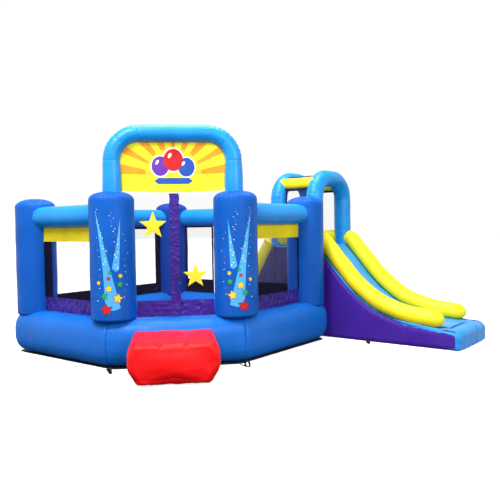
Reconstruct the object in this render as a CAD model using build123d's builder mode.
from build123d import *
import os
from math import atan2, cos, degrees, hypot, radians, sin, sqrt, tan

# Inflatable bounce house with a climbing ramp, a tower and a slide.
# Millimetres, +Z up, the ground at z = 0, the origin in the middle of the footprint.
# +X is the way the slide runs, -Y is the side that the entrance and the step face.
# Plan sizes below are measured from the centre of the bounce square, and moved by OX, OY.

os.makedirs("parts", exist_ok=True)

# ---------------------------------------------------------------- driving sizes
OX, OY = -821.15, -317.45       # from the centre of the bounce square to the middle of the footprint
SQ = 1220.7                    # half the distance between the corner columns
CUT = 930.3                    # the entrance cuts this much off the front right corner
WALL = 12                      # wall of each inflated chamber, which stands in for coated cloth

RING_Z0, RING_Z1 = 3.0, 505.0  # base ring, on top of the ground sheet
RING_OUT, RING_IN = 210.0, 200.0
RING_OUT_FRONT = 260.0         # the ring is fuller below the entrance
FLOOR_TOP = 300.0

COL_R_FRONT, COL_TOP_FRONT = 239.5, 1854.0
COL_R, COL_TOP = 188.5, 1835.0
COL_R_SIDE = 235.0
# the three rear columns stand a little inside their corners
INSET = {"left": (44.0, 44.0), "right": (-44.0, -44.0), "back": (26.0, -66.0)}
TUBE_R, TUBE_Z = 125.0, 1608.5  # tubes between the column heads

ARCH_R, ARCH_HALF, ARCH_Z, ARCH_BEND = 93.5, 647.0, 2465.0, 290.0  # arch over the entrance
PANEL_T = 20.0

TOWER_Y0, TOWER_Y1 = 1446.0, 2436.0    # tower, ramp and slide share this width
TOWER_X0, TOWER_X1 = 500.0, 1100.0
DECK_Z = 1186.0
LEG_R = 115.0
LEG_Y0, LEG_Y1 = 1563.0, 2319.0
LEG_X_CLIMB, LEG_X_SLIDE = 509.0, 1089.0
TOWER_ARCH_Z, TOWER_ARCH_BEND = 2105.0, 285.0
RAIL_R = 105.0
RAIL_Y0, RAIL_Y1 = TOWER_Y0 + RAIL_R, TOWER_Y1 - RAIL_R
SLIDE_END = 3083.0
LANDING_TOP = 230.0
# centre line of the slide's side bolsters (x, z), and the bend radius at each inner corner
SLIDE_LINE = [(1120, 1291), (1211, 1291), (1710, 716), (2034, 483), (2415, 361), (2744, 335)]
SLIDE_BENDS = [150, 1500, 900, 1200]

NET_T = 4.0
DOOR_Z0, DOOR_Z1 = 516.0, 1828.0
DOOR_HALF = 412.0              # from the middle of the entrance to each door's hinge line

# ---------------------------------------------------------------- plan helpers
COLUMNS = {
    "left": (-SQ, -SQ),
    "front_left": (SQ - CUT, -SQ),
    "front_right": (SQ, -SQ + CUT),
    "right": (SQ, SQ),
    "back": (-SQ, SQ),
}
ORDER = ["left", "front_left", "front_right", "right", "back"]


def at(x, y, z=0.0):
    return Vector(x + OX, y + OY, z)


def side(a, b):
    """Middle, direction, outward normal and half length of the wall from column a to column b."""
    (ax, ay), (bx, by) = COLUMNS[a], COLUMNS[b]
    length = hypot(bx - ax, by - ay)
    t = ((bx - ax) / length, (by - ay) / length)
    return ((ax + bx) / 2, (ay + by) / 2), t, (t[1], -t[0]), length / 2


def column_radius(name):
    return COL_R_FRONT if name.startswith("front") else COL_R_SIDE if name in INSET else COL_R


def column_axis(name):
    (x, y), (dx, dy) = COLUMNS[name], INSET.get(name, (0.0, 0.0))
    return x + dx, y + dy


def wall_plane(a, b, out=0.0):
    """Upright plane of a wall: x along the wall, y up, z outwards."""
    (mx, my), t, n, _ = side(a, b)
    return Plane(origin=at(mx + n[0] * out, my + n[1] * out), x_dir=(t[0], t[1], 0), z_dir=(n[0], n[1], 0))


def ring_corners(offsets):
    """Corners of the column polygon with each side moved out by its own distance."""
    lines = []
    for i, a in enumerate(ORDER):
        b = ORDER[(i + 1) % 5]
        (mx, my), t, n, _ = side(a, b)
        lines.append(((mx + n[0] * offsets[i], my + n[1] * offsets[i]), t))
    points = []
    for i in range(5):
        (p, t), (q, u) = lines[i - 1], lines[i]
        k = ((q[0] - p[0]) * u[1] - (q[1] - p[1]) * u[0]) / (t[0] * u[1] - t[1] * u[0])
        points.append((p[0] + t[0] * k + OX, p[1] + t[1] * k + OY))
    return points


def mitre_plane(name, towards, inset=0.0):
    """Upright plane through a column along its corner's bisector, facing the middle of the wall `towards`."""
    i = ORDER.index(name)
    cx, cy = COLUMNS[name]
    _, t0, _, _ = side(ORDER[i - 1], name)
    _, t1, _, _ = side(name, ORDER[(i + 1) % 5])
    nx, ny = t0[0] + t1[0], t0[1] + t1[1]
    size = hypot(nx, ny)
    nx, ny = nx / size, ny / size
    if (towards[0] - cx) * nx + (towards[1] - cy) * ny < 0:
        nx, ny = -nx, -ny
    return Plane(origin=at(cx + nx * inset, cy + ny * inset), z_dir=(nx, ny, 0))


def offset_line(points, d):
    """A line of straight runs moved sideways by d, to the left of its direction."""
    out = []
    for i, p in enumerate(points):
        dirs = []
        for j in (i - 1, i):
            if 0 <= j < len(points) - 1:
                dx, dz = points[j + 1][0] - points[j][0], points[j + 1][1] - points[j][1]
                s = hypot(dx, dz)
                dirs.append((dx / s, dz / s))
        nx = sum(-v[1] for v in dirs) / len(dirs)
        nz = sum(v[0] for v in dirs) / len(dirs)
        s = nx * nx + nz * nz
        out.append((p[0] + nx * d / s, p[1] + nz * d / s))
    return out


def upright(y):
    """Upright plane across the slide: x is the slide's direction, y is up, z points to -Y."""
    return Plane(origin=at(0, y), x_dir=(1, 0, 0), z_dir=(0, -1, 0))


def save(piece, name):
    piece.part.label = name
    export_step(piece.part, f"parts/{name}.step")


# ---------------------------------------------------------------- base ring and floor
outer_offsets = [RING_OUT, RING_OUT_FRONT, RING_OUT, RING_OUT, RING_OUT]
corner_bends = [195, 235, 235, 195, 195]


def ring_body(inset):
    """The whole ring, or the space inside it, a wall's thickness smaller all round."""
    with BuildPart() as body:
        with BuildSketch(Plane.XY.offset(RING_Z0 + inset)):
            with BuildLine():
                FilletPolyline(*ring_corners([o - inset for o in outer_offsets]),
                               radius=[c - inset for c in corner_bends], close=True)
            make_face()
        extrude(amount=RING_Z1 - RING_Z0 - 2 * inset)
        fillet(body.faces().sort_by(Axis.Z)[-1].outer_wire().edges(), 110 - inset)
        fillet(body.faces().sort_by(Axis.Z)[0].outer_wire().edges(), 60 - inset)
        with BuildSketch(Plane.XY.offset(RING_Z0 + inset)):
            Polygon(*ring_corners([inset - RING_IN] * 5), align=None)
        extrude(amount=RING_Z1 - RING_Z0 - 2 * inset, mode=Mode.SUBTRACT)
        fillet(body.faces().sort_by(Axis.Z)[-1].inner_wires()[0].edges(), 70 - inset)
    return body


ring = ring_body(0)
ring_air = ring_body(WALL)

SIDES = {
    "base_tube_front_left": ("left", "front_left"),
    "base_tube_front": ("front_left", "front_right"),
    "base_tube_right": ("front_right", "right"),
    "base_tube_back_right": ("right", "back"),
    "base_tube_back_left": ("back", "left"),
}
for name, (a, b) in SIDES.items():
    (mx, my), t, n, half = side(a, b)
    middle = (mx + n[0] * 100, my + n[1] * 100)
    with BuildPart() as chamber:  # the air inside this length of the ring
        add(ring_air.part)
        split(bisect_by=mitre_plane(a, middle, WALL), keep=Keep.TOP)
        split(bisect_by=mitre_plane(b, middle, WALL), keep=Keep.TOP)
    with BuildPart() as base_tube:
        add(ring.part)
        split(bisect_by=mitre_plane(a, middle), keep=Keep.TOP)
        split(bisect_by=mitre_plane(b, middle), keep=Keep.TOP)
        add(chamber.part, mode=Mode.SUBTRACT)
    save(base_tube, name)

with BuildPart() as bounce_floor:
    with BuildSketch(Plane.XY.offset(RING_Z0)):
        Polygon(*ring_corners([-RING_IN] * 5), align=None)
    extrude(amount=FLOOR_TOP - RING_Z0)
    with BuildSketch(Plane.XY.offset(RING_Z0 + WALL)):
        Polygon(*ring_corners([-RING_IN - WALL] * 5), align=None)
    extrude(amount=FLOOR_TOP - RING_Z0 - 2 * WALL, mode=Mode.SUBTRACT)
save(bounce_floor, "bounce_floor")

with BuildPart() as ground_sheet:
    with BuildSketch():
        Polygon(*ring_corners([148, 198, 148, 148, 148]), align=None)
        fillet(vertices(), 140)
    extrude(amount=RING_Z0)
save(ground_sheet, "ground_sheet")

# ---------------------------------------------------------------- columns
columns = {}
for name in COLUMNS:
    cx, cy = column_axis(name)
    r, top = column_radius(name), COL_TOP_FRONT if name.startswith("front") else COL_TOP
    foot = 400.0
    dome = 62.0
    with BuildPart() as column:
        with BuildSketch(Plane(origin=at(cx, cy), x_dir=(1, 0, 0), z_dir=(0, -1, 0))):
            with BuildLine():
                Polyline((0, foot), (r, foot), (r, top - dome - 30))
                Spline((r, top - dome - 30), (r * 0.93, top - 36), (0, top),
                       tangents=[(0, 1), (-1, 0)])
                Line((0, top), (0, foot))
            make_face()
        revolve(axis=Axis(at(cx, cy), (0, 0, 1)))
        add(ring.part, mode=Mode.SUBTRACT)
        with BuildSketch(Plane.XY.offset(RING_Z1 + 15)):
            with Locations((cx + OX, cy + OY)):
                Circle(r - WALL)
        extrude(amount=top - dome - 30 - RING_Z1 - 20, mode=Mode.SUBTRACT)
    columns[name] = column
    save(column, f"{name}_column")

# ---------------------------------------------------------------- tubes between the column heads
TUBES = {
    "top_tube_front_left": ("left", "front_left"),
    "top_tube_right": ("front_right", "right"),
    "top_tube_back_right": ("right", "back"),
    "top_tube_back_left": ("back", "left"),
}
for name, (a, b) in TUBES.items():
    (mx, my), t, n, half = side(a, b)
    across = Plane(origin=at(mx, my), x_dir=(n[0], n[1], 0), z_dir=(-t[0], -t[1], 0))
    with BuildPart() as top_tube:
        with BuildSketch(across):
            with Locations((0, TUBE_Z)):
                Circle(TUBE_R)
        extrude(amount=half - 40, both=True)
        for end in (a, b):
            with Locations(at(*column_axis(end), TUBE_Z)):
                Cylinder(column_radius(end), 500, mode=Mode.SUBTRACT)
        with BuildSketch(across):
            with Locations((0, TUBE_Z)):
                Circle(TUBE_R - WALL)
        extrude(amount=half - 305, both=True, mode=Mode.SUBTRACT)
    save(top_tube, name)

# ---------------------------------------------------------------- cloth and net walls
# Each wall is cloth and net in the plane of the column centres.
TUBE_LOW = TUBE_Z - TUBE_R


def strip(a, b, s0, s1, z0, z1, thick, out=0.0):
    """Flat strip of a wall, from s0 to s1 along it and z0 to z1 up it, less half a seam all round."""
    place = wall_plane(a, b, out).location * Location(((s0 + s1) / 2, (z0 + z1) / 2, 0))
    with Locations(place):
        Box(s1 - s0 - 0.3, z1 - z0 - 0.3, thick)


def reach(a, b):
    """How far a wall runs each way from its middle, between the columns' faces."""
    _, t, n, half = side(a, b)
    faces = []
    for c, way in ((a, 1), (b, -1)):
        dx, dy = INSET.get(c, (0.0, 0.0))
        across = max(0.0, abs(dx * n[0] + dy * n[1]) - 5)  # at the face nearer the column's axis
        chord = (column_radius(c) ** 2 - across ** 2) ** 0.5 + (0.2 if across else 0.0)
        faces.append(-way * half + dx * t[0] + dy * t[1] + way * chord)
    return faces


fl0, fl1 = reach("left", "front_left")
r0, r1 = reach("front_right", "right")
br0, br1 = reach("right", "back")
bl0, bl1 = reach("back", "left")

with BuildPart() as valances:
    strip("left", "front_left", fl0, fl1, 1322, TUBE_LOW - 1, 6)
    strip("front_right", "right", r0, r1, 1322, TUBE_LOW - 1, 6)
save(valances, "valances")

with BuildPart() as skirts:
    strip("left", "front_left", fl0, fl1, RING_Z1, 670, 8)
    strip("front_right", "right", r0, r1, RING_Z1, 670, 8)
save(skirts, "skirts")

with BuildPart() as front_nets:
    strip("left", "front_left", fl0, fl1, 670, 1322, NET_T)
    strip("front_right", "right", r0, r1, 670, 1322, NET_T)
save(front_nets, "front_nets")

# back left wall: along it runs from the back column (s = -) to the left column (s = +)
W0, W1, WZ0, WZ1 = -820.0, 885.0, 652.0, 1450.0
with BuildPart() as net_back_left:
    strip("back", "left", W0, W1, WZ0, WZ1, NET_T)
save(net_back_left, "net_back_left")

with BuildPart() as border_back_left:
    strip("back", "left", bl0, W0, RING_Z1, TUBE_LOW, 6)
    strip("back", "left", W1, bl1, RING_Z1, TUBE_LOW, 6)
    strip("back", "left", W0, W1, RING_Z1, WZ0, 6)
    strip("back", "left", W0, W1, WZ1, TUBE_LOW, 6)
save(border_back_left, "border_back_left")

# back right wall: along it runs from the right column (s = -) to the back column (s = +),
# with a doorway to the climbing ramp between s = -250 and s = 420
DZ0, DZ1 = 700.0, 1462.0
GAP0, GAP1 = -250.0, 420.0
with BuildPart() as net_back_right:
    strip("right", "back", -870, GAP0 - 32, DZ0, DZ1, NET_T)
    strip("right", "back", GAP1 + 32, 945, DZ0, DZ1, NET_T)
save(net_back_right, "net_back_right")

with BuildPart() as border_back_right:
    strip("right", "back", -870, GAP0, RING_Z1, DZ0, 6)
    strip("right", "back", GAP0 - 32, GAP0, DZ0, TUBE_LOW, 6)
    strip("right", "back", -870, GAP0 - 32, DZ1, TUBE_LOW, 6)
    strip("right", "back", GAP1, br1, RING_Z1, DZ0, 6)
    strip("right", "back", GAP1, GAP1 + 32, DZ0, TUBE_LOW, 6)
    strip("right", "back", GAP1 + 32, 945, DZ1, TUBE_LOW, 6)
    strip("right", "back", 945, br1, DZ0, TUBE_LOW, 6)
save(border_back_right, "border_back_right")

with BuildPart() as corner_strip:
    strip("right", "back", br0, -870, RING_Z1, TUBE_LOW, 6)
save(corner_strip, "corner_strip")

# ---------------------------------------------------------------- entrance arch and panel
entrance = wall_plane("front_left", "front_right")
(ex, ey), et, en, _ = side("front_left", "front_right")

with BuildPart() as banner_arch:
    with BuildLine(entrance) as arch_path:
        FilletPolyline((-ARCH_HALF, 1800), (-ARCH_HALF, ARCH_Z), (ARCH_HALF, ARCH_Z), (ARCH_HALF, 1800),
                       radius=ARCH_BEND)
    with BuildSketch(Plane(origin=entrance.from_local_coords((-ARCH_HALF, 1800, 0)),
                           x_dir=entrance.x_dir, z_dir=(0, 0, 1))):
        Circle(ARCH_R)
    sweep(path=arch_path.wires()[0])
    add(columns["front_left"].part, mode=Mode.SUBTRACT)
    add(columns["front_right"].part, mode=Mode.SUBTRACT)
save(banner_arch, "banner_arch")

PX = ARCH_HALF - ARCH_R - 0.3
PZ = ARCH_Z - ARCH_R - 0.3
with BuildPart() as banner_panel:
    with BuildSketch(wall_plane("front_left", "front_right", -PANEL_T / 2)):
        with BuildLine():
            FilletPolyline((-PX, 1862), (-PX, PZ), (PX, PZ), (PX, 1862), (0, 1838),
                           radius=[1, ARCH_BEND - ARCH_R, ARCH_BEND - ARCH_R, 1, 400], close=True)
        make_face()
    extrude(amount=PANEL_T)
    add(columns["front_left"].part, mode=Mode.SUBTRACT)
    add(columns["front_right"].part, mode=Mode.SUBTRACT)
save(banner_panel, "banner_panel")

# ---------------------------------------------------------------- entrance doors, two curtains that overlap
HEM = 52.0                     # half the width of the overlap
BAND = 683.0                   # top of the band along the foot of each curtain
DOOR_T = 5.0
OUT_L, OUT_R = 6.0, -6.0       # the left curtain closes over the right one


with BuildPart() as door_left_net:
    strip("front_left", "front_right", -DOOR_HALF, -HEM, BAND, DOOR_Z1, NET_T, OUT_L)
save(door_left_net, "door_left_net")

with BuildPart() as door_left_trim:
    strip("front_left", "front_right", -HEM, HEM - 2, BAND, DOOR_Z1, DOOR_T, OUT_L)
    strip("front_left", "front_right", -DOOR_HALF, HEM - 2, DOOR_Z0, BAND, DOOR_T, OUT_L)
save(door_left_trim, "door_left_trim")

with BuildPart() as door_right_net:
    strip("front_left", "front_right", HEM, DOOR_HALF, BAND, DOOR_Z1, NET_T, OUT_R)
save(door_right_net, "door_right_net")

with BuildPart() as door_right_trim:
    strip("front_left", "front_right", -HEM + 2, HEM, BAND, DOOR_Z1, DOOR_T, OUT_R)
    strip("front_left", "front_right", -HEM + 2, DOOR_HALF, DOOR_Z0, BAND, DOOR_T, OUT_R)
save(door_right_trim, "door_right_trim")


def star_points(cx, cz, r):
    out = []
    for k in range(10):
        rr = r if k % 2 == 0 else r * 0.42
        a = radians(90 + 36 * k)
        out.append((cx + rr * cos(a), cz + rr * sin(a)))
    return out


with BuildPart() as star_upper:
    with BuildSketch(wall_plane("front_left", "front_right", OUT_L + NET_T / 2)):
        Polygon(*star_points(-228, 1487, 152), align=None)
    extrude(amount=3)
save(star_upper, "star_upper")

with BuildPart() as star_lower:
    with BuildSketch(wall_plane("front_left", "front_right", OUT_R + NET_T / 2)):
        Polygon(*star_points(215, 940, 138), align=None)
    extrude(amount=3)
save(star_lower, "star_lower")

# ---------------------------------------------------------------- entrance step
STEP_BACK, STEP_FRONT = RING_OUT_FRONT, 1036.0
STEP_MID, STEP_HALF, STEP_FOOT, STEP_TOP = -33.0, 436.0, 349.0, 398.0
with BuildPart() as entrance_step:
    with BuildSketch(wall_plane("front_left", "front_right", STEP_BACK)):
        with BuildLine():
            FilletPolyline((STEP_MID - STEP_FOOT, 0), (STEP_MID - STEP_HALF, 175),
                           (STEP_MID - STEP_HALF, 300), (STEP_MID - STEP_HALF + 46, STEP_TOP),
                           (STEP_MID + STEP_HALF - 46, STEP_TOP), (STEP_MID + STEP_HALF, 300),
                           (STEP_MID + STEP_HALF, 175), (STEP_MID + STEP_FOOT, 0),
                           radius=[10, 90, 90, 60, 60, 90, 90, 10], close=True)
        make_face()
    extrude(amount=STEP_FRONT - STEP_BACK)
    fillet(entrance_step.faces().sort_by(Axis(at(ex, ey), (en[0], en[1], 0)))[-1].outer_wire().edges()
           .filter_by(lambda e: e.center().Z > 25), 45)
    with BuildSketch(wall_plane("front_left", "front_right", STEP_BACK + WALL)):
        with Locations((STEP_MID, 206)):
            RectangleRounded(2 * STEP_FOOT - 30, STEP_TOP - 2 * 28, 60)
    extrude(amount=STEP_FRONT - STEP_BACK - 2 * WALL - 40, mode=Mode.SUBTRACT)
save(entrance_step, "entrance_step")

# ---------------------------------------------------------------- slide
UNDER = offset_line(SLIDE_LINE, -RAIL_R)        # where the bolsters rest
BED = offset_line(SLIDE_LINE, -RAIL_R + 15)     # sliding surface
UNDER_BENDS = [SLIDE_BENDS[0] - RAIL_R] + [b + RAIL_R for b in SLIDE_BENDS[1:]]
BED_BENDS = [SLIDE_BENDS[0] - RAIL_R + 15] + [b + RAIL_R - 15 for b in SLIDE_BENDS[1:]]


with BuildPart() as slide_core:
    with BuildSketch(upright(TOWER_Y0 + 30)):
        with BuildLine():
            top = FilletPolyline((TOWER_X1, UNDER[0][1]), *UNDER[1:-1], (UNDER[-1][0], LANDING_TOP),
                                 radius=UNDER_BENDS)
            Polyline(top @ 1, (SLIDE_END, LANDING_TOP), (SLIDE_END, 0), (TOWER_X1, 0), top @ 0)
        make_face()
    extrude(amount=-(TOWER_Y1 - TOWER_Y0 - 60))
    fillet(slide_core.edges().filter_by(Axis.Y).sort_by(Axis.X)[-2:].sort_by(Axis.Z)[-1:], 55)
    fillet(slide_core.edges().filter_by(Axis.Y).sort_by(Axis.X)[-1:], 25)
    for y in (RAIL_Y0, RAIL_Y1):  # a shallow hollow under each bolster's nose
        with Locations(at(2768, y, LANDING_TOP)):
            Box(60, 120, 3, mode=Mode.SUBTRACT)
save(slide_core, "slide_core")

with BuildPart() as slide_sides:
    for y0 in (TOWER_Y0, TOWER_Y1 - 30):
        with BuildSketch(upright(y0)):
            with BuildLine():
                top = FilletPolyline((TOWER_X1, UNDER[0][1]), *UNDER[1:-1], (UNDER[-1][0], LANDING_TOP),
                                     radius=UNDER_BENDS)
                Polyline(top @ 1, (SLIDE_END - 40, LANDING_TOP), (SLIDE_END - 12, LANDING_TOP - 30),
                         (SLIDE_END - 12, 0), (TOWER_X1, 0), top @ 0)
            make_face()
        extrude(amount=-30)
save(slide_sides, "slide_sides")

with BuildPart() as slide_bed:
    with BuildSketch(upright(TOWER_Y0 + 2 * RAIL_R + 0.3)):
        with BuildLine():
            low = FilletPolyline((TOWER_X1, UNDER[0][1]), *UNDER[1:-1], (UNDER[-1][0], LANDING_TOP),
                                 radius=UNDER_BENDS)
            high = FilletPolyline((TOWER_X1, BED[0][1]), *BED[1:-1], (BED[-1][0], LANDING_TOP + 15),
                                  radius=BED_BENDS)
            Polyline(low @ 1, (SLIDE_END - 60, LANDING_TOP), (SLIDE_END - 75, LANDING_TOP + 15), high @ 1)
            Line(low @ 0, high @ 0)
        make_face()
    extrude(amount=-(TOWER_Y1 - TOWER_Y0 - 4 * RAIL_R - 0.6))
    with Locations(at(LEG_X_SLIDE, LEG_Y0, 1300), at(LEG_X_SLIDE, LEG_Y1, 1300)):
        Cylinder(LEG_R, 600, mode=Mode.SUBTRACT)
save(slide_bed, "slide_bed")

BOLSTER_END = (SLIDE_LINE[-1][0] + 99.7, SLIDE_LINE[-1][1] - 7.9)
with BuildPart() as slide_bolsters:
    for y, leg_y in ((RAIL_Y0, LEG_Y0), (RAIL_Y1, LEG_Y1)):
        with BuildLine(upright(y)) as bolster_path:
            FilletPolyline(*SLIDE_LINE[:-1], BOLSTER_END, radius=SLIDE_BENDS)
        with BuildSketch(Plane(origin=at(SLIDE_LINE[0][0], y, SLIDE_LINE[0][1]), x_dir=(0, 1, 0), z_dir=(1, 0, 0))):
            Circle(RAIL_R)
        sweep(path=bolster_path.wires()[0])
        with Locations(at(LEG_X_SLIDE, leg_y, 1300)):
            Cylinder(LEG_R + 0.4, 600, mode=Mode.SUBTRACT)
    fillet(slide_bolsters.faces().sort_by(Axis.X)[-2:].edges(), 96)
save(slide_bolsters, "slide_bolsters")

# ---------------------------------------------------------------- tower
with BuildPart() as tower_body:
    with BuildSketch(Plane.XY):
        with Locations(at((TOWER_X0 + TOWER_X1) / 2, (TOWER_Y0 + TOWER_Y1) / 2)):
            Rectangle(TOWER_X1 - TOWER_X0, TOWER_Y1 - TOWER_Y0)
    extrude(amount=DECK_Z - 15)
    with BuildSketch(Plane.XY.offset(WALL)):
        with Locations(at((TOWER_X0 + TOWER_X1) / 2, (TOWER_Y0 + TOWER_Y1) / 2)):
            Rectangle(TOWER_X1 - TOWER_X0 - 2 * WALL, TOWER_Y1 - TOWER_Y0 - 2 * WALL)
    extrude(amount=DECK_Z - 15 - 2 * WALL, mode=Mode.SUBTRACT)
save(tower_body, "tower_body")

with BuildPart() as tower_deck:
    with BuildSketch(Plane.XY.offset(DECK_Z - 15)):
        with Locations(at((TOWER_X0 + TOWER_X1) / 2, (TOWER_Y0 + TOWER_Y1) / 2)):
            Rectangle(TOWER_X1 - TOWER_X0, TOWER_Y1 - TOWER_Y0)
    extrude(amount=15)
save(tower_deck, "tower_deck")

tower_arches = {}
for name, x in (("tower_arch_climb", LEG_X_CLIMB), ("tower_arch_slide", LEG_X_SLIDE)):
    arch_plane = Plane(origin=at(x, 0), x_dir=(0, 1, 0), z_dir=(1, 0, 0))
    with BuildPart() as tower_arch:
        with BuildLine(arch_plane) as tower_path:
            FilletPolyline((LEG_Y0, DECK_Z), (LEG_Y0, TOWER_ARCH_Z), (LEG_Y1, TOWER_ARCH_Z), (LEG_Y1, DECK_Z),
                           radius=TOWER_ARCH_BEND)
        with BuildSketch(Plane.XY.offset(DECK_Z)):
            with Locations(at(x, LEG_Y0)):
                Circle(LEG_R)
        sweep(path=tower_path.wires()[0])
    tower_arches[name] = tower_arch
    save(tower_arch, name)

ROOF_R, ROOF_Z, ROOF_Y0, ROOF_Y1 = 78.0, 2042.0, 1625.0, 2257.0
with BuildPart() as tower_roof_tubes:
    for y in (ROOF_Y0, ROOF_Y1):
        with BuildSketch(Plane(origin=at(LEG_X_CLIMB, y, ROOF_Z), x_dir=(0, 1, 0), z_dir=(1, 0, 0))):
            Circle(ROOF_R)
        extrude(amount=LEG_X_SLIDE - LEG_X_CLIMB)
    add(tower_arches["tower_arch_climb"].part, mode=Mode.SUBTRACT)
    add(tower_arches["tower_arch_slide"].part, mode=Mode.SUBTRACT)
    with Locations(at(LEG_X_CLIMB - 300, 1941, 2042), at(LEG_X_SLIDE + 300, 1941, 2042)):
        Box(600, 1200, 400, mode=Mode.SUBTRACT)
save(tower_roof_tubes, "tower_roof_tubes")

with BuildPart() as deck_rails:
    for y, leg_y in ((RAIL_Y0, LEG_Y0), (RAIL_Y1, LEG_Y1)):
        with BuildSketch(Plane(origin=at(LEG_X_CLIMB + 40, y, 1291), x_dir=(0, 1, 0), z_dir=(1, 0, 0))):
            Circle(RAIL_R)
        extrude(amount=LEG_X_SLIDE - LEG_X_CLIMB - 80)
        for x in (LEG_X_CLIMB, LEG_X_SLIDE):
            with Locations(at(x, leg_y, 1300)):
                Cylinder(LEG_R, 600, mode=Mode.SUBTRACT)
save(deck_rails, "deck_rails")

with BuildPart() as tower_nets:
    for y in (LEG_Y0, LEG_Y1):
        with BuildSketch(upright(y + NET_T / 2)):
            with Locations(((LEG_X_CLIMB + LEG_X_SLIDE) / 2 + 0, (1395 + 1990) / 2)):
                Rectangle(LEG_X_SLIDE - LEG_X_CLIMB - 2 * LEG_R, 1990 - 1395)
        extrude(amount=NET_T)
    add(deck_rails.part, mode=Mode.SUBTRACT)
    add(tower_roof_tubes.part, mode=Mode.SUBTRACT)
save(tower_nets, "tower_nets")

ROOF_NET_Z = 2150.0
with BuildPart() as tower_roof_net:
    with BuildSketch(Plane(origin=at(LEG_X_CLIMB + 107, 0), x_dir=(0, 1, 0), z_dir=(1, 0, 0))):
        Polygon((ROOF_Y0, 2120.5), (1705, ROOF_NET_Z), (2177, ROOF_NET_Z), (ROOF_Y1, 2120.5),
                (ROOF_Y1, 2125), (2177, ROOF_NET_Z + 5), (1705, ROOF_NET_Z + 5), (ROOF_Y0, 2125), align=None)
    extrude(amount=LEG_X_SLIDE - LEG_X_CLIMB - 214)
save(tower_roof_net, "tower_roof_net")

# ---------------------------------------------------------------- climbing ramp
RAMP_X0 = -79.0
RAMP_X1 = 463.0
SLOPE = (DECK_Z - FLOOR_TOP) / (RAMP_X1 - RAMP_X0)
with BuildPart() as climb_ramp:
    with BuildSketch(upright(TOWER_Y0)):
        Polygon((RAMP_X0, 0), (TOWER_X0, 0), (TOWER_X0, DECK_Z), (RAMP_X1, DECK_Z), (RAMP_X0, FLOOR_TOP), align=None)
    extrude(amount=-(TOWER_Y1 - TOWER_Y0))
    with BuildSketch(upright(TOWER_Y0 + WALL)):
        Polygon((RAMP_X0 + WALL, WALL), (TOWER_X0 - WALL, WALL), (TOWER_X0 - WALL, DECK_Z - WALL - 20),
                (RAMP_X1 + 4, DECK_Z - WALL - 20), (RAMP_X0 + WALL, FLOOR_TOP - 8), align=None)
    extrude(amount=-(TOWER_Y1 - TOWER_Y0 - 2 * WALL), mode=Mode.SUBTRACT)
save(climb_ramp, "climb_ramp")

ramp_len = hypot(RAMP_X1 - RAMP_X0, DECK_Z - FLOOR_TOP)
ramp_dir = ((RAMP_X1 - RAMP_X0) / ramp_len, (DECK_Z - FLOOR_TOP) / ramp_len)
ramp_up = (-ramp_dir[1], ramp_dir[0])
foot = (RAMP_X0 + ramp_dir[0] * 92 + ramp_up[0] * (RAIL_R + 0.2), FLOOR_TOP + ramp_dir[1] * 92 + ramp_up[1] * (RAIL_R + 0.2))
RAIL_LEN = 960.0
with BuildPart() as climb_rails:
    for y, leg_y in ((RAIL_Y0, LEG_Y0), (RAIL_Y1, LEG_Y1)):
        with BuildSketch(Plane(origin=at(foot[0], y, foot[1]), x_dir=(0, 1, 0), z_dir=(ramp_dir[0], 0, ramp_dir[1]))):
            Circle(RAIL_R)
        extrude(amount=RAIL_LEN)
        with Locations(at(foot[0], y, foot[1])):
            Sphere(RAIL_R)
        with Locations(at(LEG_X_CLIMB, leg_y, 1400)):
            Cylinder(LEG_R, 900, mode=Mode.SUBTRACT)
    with Locations(at(LEG_X_CLIMB + 250, 1941, 1400)):
        Box(500, 1200, 900, mode=Mode.SUBTRACT)
save(climb_rails, "climb_rails")

with BuildPart() as climb_steps:
    for k in range(4):
        u = 150 + 225 * k
        px, pz = RAMP_X0 + ramp_dir[0] * u, FLOOR_TOP + ramp_dir[1] * u
        with BuildSketch(Plane(origin=at(px, TOWER_Y0 + 2 * RAIL_R + 40, pz), x_dir=(ramp_dir[0], 0, ramp_dir[1]), z_dir=(0, 1, 0))):
            with BuildLine():
                Line((-48, 0), (48, 0))
                ThreePointArc((48, 0), (0, -48), (-48, 0))
            make_face()
        extrude(amount=TOWER_Y1 - TOWER_Y0 - 4 * RAIL_R - 80)
save(climb_steps, "climb_steps")

PAD_X0 = -580.0
with BuildPart() as climb_pad:
    with BuildSketch(Plane.XY):
        with Locations(at((PAD_X0 + RAMP_X0) / 2, (TOWER_Y0 + TOWER_Y1) / 2)):
            Rectangle(RAMP_X0 - PAD_X0, TOWER_Y1 - TOWER_Y0)
    extrude(amount=FLOOR_TOP)
    fillet(climb_pad.edges().filter_by(Axis.Z).sort_by(Axis.X)[:2], 40)
    with BuildSketch(Plane.XY.offset(WALL)):
        with Locations(at((PAD_X0 + RAMP_X0) / 2, (TOWER_Y0 + TOWER_Y1) / 2)):
            RectangleRounded(RAMP_X0 - PAD_X0 - 2 * WALL, TOWER_Y1 - TOWER_Y0 - 2 * WALL, 30)
    extrude(amount=FLOOR_TOP - 2 * WALL, mode=Mode.SUBTRACT)
save(climb_pad, "climb_pad")

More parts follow.
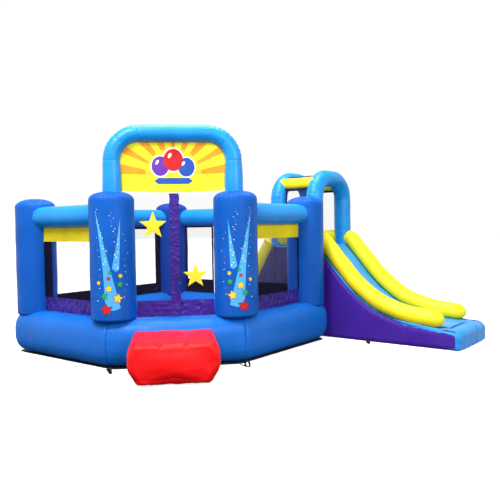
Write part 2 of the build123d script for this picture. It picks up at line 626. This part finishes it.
GUARD_R = 90.0
GUARD_Z = FLOOR_TOP + GUARD_R + 60
with BuildPart() as climb_guard:
    with BuildSketch(Plane(origin=at(PAD_X0 + GUARD_R, TOWER_Y0 + 6, GUARD_Z), x_dir=(1, 0, 0), z_dir=(0, 1, 0))):
        SlotOverall(2 * GUARD_R + 120, 2 * GUARD_R, rotation=90)
    extrude(amount=TOWER_Y1 - TOWER_Y0 - 2 * GUARD_R - 8)
    with BuildSketch(Plane(origin=at(PAD_X0 + 4, TOWER_Y1 - GUARD_R, GUARD_Z), x_dir=(0, 1, 0), z_dir=(1, 0, 0))):
        SlotOverall(2 * GUARD_R + 120, 2 * GUARD_R, rotation=90)
    extrude(amount=330)
save(climb_guard, "climb_guard")

with BuildPart() as joining_flaps:
    with BuildSketch(Plane(origin=at(0, SQ + RING_OUT), x_dir=(1, 0, 0), z_dir=(0, -1, 0))):
        with Locations((-320, 220), (790, 220)):
            Rectangle(470, 300)
    extrude(amount=-(TOWER_Y0 - SQ - RING_OUT))
save(joining_flaps, "joining_flaps")

# ---------------------------------------------------------------- anchor straps, with a loop for a ground stake
STRAP_W, STRAP_T, LOOP_L, LOOP_H = 25.0, 3.0, 95.0, 60.0
ANCHORS = [  # where the strap leaves the base, and its direction and length on the ground
    ((352, -1381.0), -31.0, 165.0),
    ((1376, -430), -22.0, 95.0),
    ((1900, TOWER_Y0 - 10), -52.0, 80.0),
]
with BuildPart() as anchor_straps:
    for (sx, sy), turn, run in ANCHORS:
        dx, dy = cos(radians(turn)), sin(radians(turn))
        with BuildSketch(Plane(origin=at(sx, sy), x_dir=(dx, dy, 0), z_dir=(0, 0, 1))):
            with Locations(((run + 30) / 2, 0)):
                Rectangle(run + 30, STRAP_W)
        extrude(amount=STRAP_T)
        with BuildSketch(Plane(origin=at(sx + dx * run - dy * STRAP_W / 2, sy + dy * run + dx * STRAP_W / 2),
                               x_dir=(dx, dy, 0), z_dir=(dy, -dx, 0))):
            with Locations((LOOP_L / 2, LOOP_H / 2)):
                SlotOverall(LOOP_L, LOOP_H)
                SlotOverall(LOOP_L - 2 * STRAP_T, LOOP_H - 2 * STRAP_T, mode=Mode.SUBTRACT)
        extrude(amount=STRAP_W)
save(anchor_straps, "anchor_straps")

# ---------------------------------------------------------------- blower, behind the back right wall
BX, BY, BZ = -980.0, 1905.0, 190.0
SCROLL_R, SCROLL_W, SHELL = 165.0, 200.0, 4.0
NOZ_R, NOZ_Z = 70.0, 160.0
with BuildPart() as blower_housing:
    with BuildSketch(Plane(origin=at(BX - SCROLL_W / 2, BY, BZ), x_dir=(0, 1, 0), z_dir=(1, 0, 0))):
        Circle(SCROLL_R)
    extrude(amount=SCROLL_W)
    with BuildSketch(Plane(origin=at(BX, BY, NOZ_Z), x_dir=(1, 0, 0), z_dir=(0, -1, 0))):
        Circle(NOZ_R)
    extrude(amount=285)
    with Locations(at(BX - 60, BY, 32), at(BX + 60, BY, 32)):
        Box(40, 260, 64)
    with Locations(at(BX, BY, BZ + SCROLL_R + 18)):
        Box(30, 150, 12)
    with Locations(at(BX, BY - 66, BZ + SCROLL_R + 2), at(BX, BY + 66, BZ + SCROLL_R + 2)):
        Box(30, 18, 44)
    with BuildSketch(Plane(origin=at(BX - SCROLL_W / 2 + SHELL, BY, BZ), x_dir=(0, 1, 0), z_dir=(1, 0, 0))):
        Circle(SCROLL_R - SHELL)
    extrude(amount=SCROLL_W - 2 * SHELL, mode=Mode.SUBTRACT)
    with BuildSketch(Plane(origin=at(BX, BY, NOZ_Z), x_dir=(1, 0, 0), z_dir=(0, -1, 0))):
        Circle(NOZ_R - SHELL)
    extrude(amount=285, mode=Mode.SUBTRACT)
    with BuildSketch(Plane(origin=at(BX - SCROLL_W / 2, BY, BZ), x_dir=(0, 1, 0), z_dir=(1, 0, 0))):
        Circle(75)
    extrude(amount=SHELL, mode=Mode.SUBTRACT)
    with BuildSketch(Plane(origin=at(BX + SCROLL_W / 2 - SHELL, BY, BZ), x_dir=(0, 1, 0), z_dir=(1, 0, 0))):
        Circle(14)
    extrude(amount=SHELL, mode=Mode.SUBTRACT)
save(blower_housing, "blower_housing")

with BuildPart() as blower_grille:
    with BuildSketch(Plane(origin=at(BX - SCROLL_W / 2 - 5, BY, BZ), x_dir=(0, 1, 0), z_dir=(1, 0, 0))):
        Circle(88)
        for r in (24, 36, 48, 60, 72):
            Circle(r + 4, mode=Mode.SUBTRACT)
            Circle(r - 4)
        Rectangle(7, 160)
        Rectangle(160, 7)
    extrude(amount=5)
save(blower_grille, "blower_grille")

with BuildPart() as blower_motor:
    with BuildSketch(Plane(origin=at(BX + SCROLL_W / 2, BY, BZ), x_dir=(0, 1, 0), z_dir=(1, 0, 0))):
        Circle(62)
    extrude(amount=82)
    fillet(blower_motor.faces().sort_by(Axis.X)[-1].outer_wire().edges(), 14)
    with BuildSketch(Plane(origin=at(BX + SCROLL_W / 2, BY, BZ), x_dir=(0, 1, 0), z_dir=(1, 0, 0))):
        Circle(6.05)
    extrude(amount=50, mode=Mode.SUBTRACT)
    with Locations(at(BX + SCROLL_W / 2 + 36, BY, BZ + 66)):
        Box(44, 34, 20)
    with BuildSketch(Plane(origin=at(BX + SCROLL_W / 2 + 36, BY, BZ + 76), x_dir=(1, 0, 0), z_dir=(0, 0, 1))):
        Rectangle(29, 17)
    extrude(amount=-12, mode=Mode.SUBTRACT)
    with BuildSketch(Plane(origin=at(BX + SCROLL_W / 2 + 45, BY - 55, BZ), x_dir=(1, 0, 0), z_dir=(0, -1, 0))):
        Circle(9)
    extrude(amount=22)
save(blower_motor, "blower_motor")

with BuildPart() as blower_impeller:
    with BuildSketch(Plane(origin=at(BX + 60, BY, BZ), x_dir=(0, 1, 0), z_dir=(1, 0, 0))):
        Circle(112)
    extrude(amount=4)
    with BuildSketch(Plane(origin=at(BX - 78, BY, BZ), x_dir=(0, 1, 0), z_dir=(1, 0, 0))):
        Circle(112)
        Circle(92, mode=Mode.SUBTRACT)
    extrude(amount=4)
    with BuildSketch(Plane(origin=at(BX - 74, BY, BZ), x_dir=(0, 1, 0), z_dir=(1, 0, 0))):
        with PolarLocations(102, 20):
            Rectangle(17, 2.5, rotation=35)
    extrude(amount=134)
    with BuildSketch(Plane(origin=at(BX + 30, BY, BZ), x_dir=(0, 1, 0), z_dir=(1, 0, 0))):
        Circle(20)
    extrude(amount=30)
    with BuildSketch(Plane(origin=at(BX + 30, BY, BZ), x_dir=(0, 1, 0), z_dir=(1, 0, 0))):
        Circle(6)
    extrude(amount=110)
save(blower_impeller, "blower_impeller")

with BuildPart() as blower_switch:
    with BuildSketch(Plane(origin=at(BX + SCROLL_W / 2 + 36, BY + 7, BZ + 68.5), x_dir=(1, 0, 0), z_dir=(0, -1, 0))):
        Polygon((-11, 0), (11, 0), (12, 12.4), (0, 9.6), (-12, 7.6), align=None)
    extrude(amount=14)
save(blower_switch, "blower_switch")

with BuildPart() as inflation_sleeve:
    with BuildSketch(Plane(origin=at(BX, SQ + RING_OUT, NOZ_Z), x_dir=(1, 0, 0), z_dir=(0, -1, 0))):
        Circle(NOZ_R + 6)
        Circle(NOZ_R, mode=Mode.SUBTRACT)
    extrude(amount=-(BY - 285 - SQ - RING_OUT + 60))
save(inflation_sleeve, "inflation_sleeve")

# ---------------------------------------------------------------- flap over the deflation zip, on the back left of the ring
FLAP_Y, FLAP_Z = 420.0, 300.0
with BuildPart() as deflation_zip:
    with BuildSketch(Plane(origin=at(-SQ - RING_OUT, FLAP_Y, FLAP_Z - 70), x_dir=(0, -1, 0), z_dir=(-1, 0, 0))):
        RectangleRounded(300, 26, 6)
    extrude(amount=5)
save(deflation_zip, "deflation_zip")

with BuildPart() as deflation_flap:
    with BuildSketch(Plane(origin=at(-SQ - RING_OUT - 6, FLAP_Y, FLAP_Z - 75), x_dir=(0, -1, 0), z_dir=(-1, 0, 0))):
        Rectangle(360, 150)
        fillet(vertices().group_by(Axis.Z)[0], 30)
    extrude(amount=4)
save(deflation_flap, "deflation_flap")
